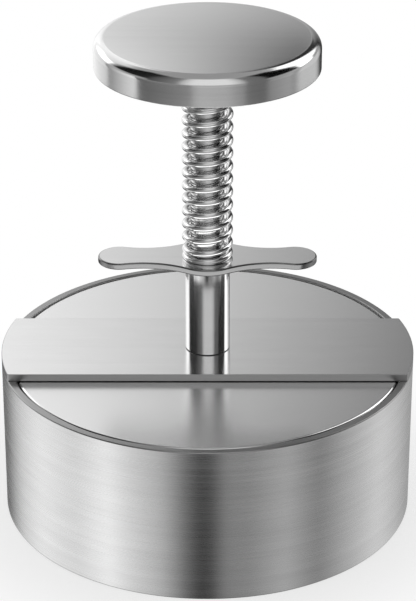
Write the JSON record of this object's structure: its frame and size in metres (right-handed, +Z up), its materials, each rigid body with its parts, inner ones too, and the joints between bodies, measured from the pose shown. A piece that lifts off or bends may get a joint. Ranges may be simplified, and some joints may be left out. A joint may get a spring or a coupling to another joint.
{
  "type": "patty press",
  "caption": "Stainless steel round patty press: open mould ring, bridge bar with guide tube and finger plate, sprung plunger with flat palm knob.",
  "frame": {"origin": "centre of the mould ring's bottom rim, on the surface that the press stands on", "axes": "+Z up along the plunger; X along the bridge bar and the finger plate; Y across them, with -Y the front"},
  "size_m": [0.112, 0.112, 0.1347],
  "materials": {
    "brushed_ring": "stainless steel, brushed round the ring",
    "satin_sheet": "stainless steel sheet, fine satin brushed lengthwise",
    "satin_plate": "stainless steel plate, smooth satin",
    "polished_tube": "stainless steel, turned and polished",
    "polished_rod": "stainless steel, ground and polished",
    "spring_wire": "bright drawn stainless spring wire",
    "knob_satin": "stainless steel, satin top with a polished rounded edge",
    "plain_steel": "stainless steel, plain turned"
  },
  "bodies": {
    "mould": {"mould_ring": "brushed_ring", "bridge_bar": "satin_sheet", "guide_tube": "polished_tube", "finger_plate": "satin_sheet"},
    "spring": {"return_spring": "spring_wire", "spring_washer": "plain_steel"},
    "plunger": {"plunger_rod": "polished_rod", "press_plate": "satin_plate", "plate_screw": "plain_steel", "knob_shell": "knob_satin", "knob_base": "knob_satin", "knob_boss": "plain_steel"}
  },
  "joints": [
    {"name": "plunger_slide", "type": "slide", "parent": "mould", "child": "spring", "axis": [0, 0, -1], "range_m": [0, 0.0225], "stiffness_N_per_m": 4000, "springref_m": -0.004, "deforming": ["return_spring"]},
    {"name": "plunger_spin", "type": "hinge", "parent": "spring", "child": "plunger", "pos_m": [0, 0, 0.1], "axis": [0, 0, 1], "continuous": true}
  ]
}
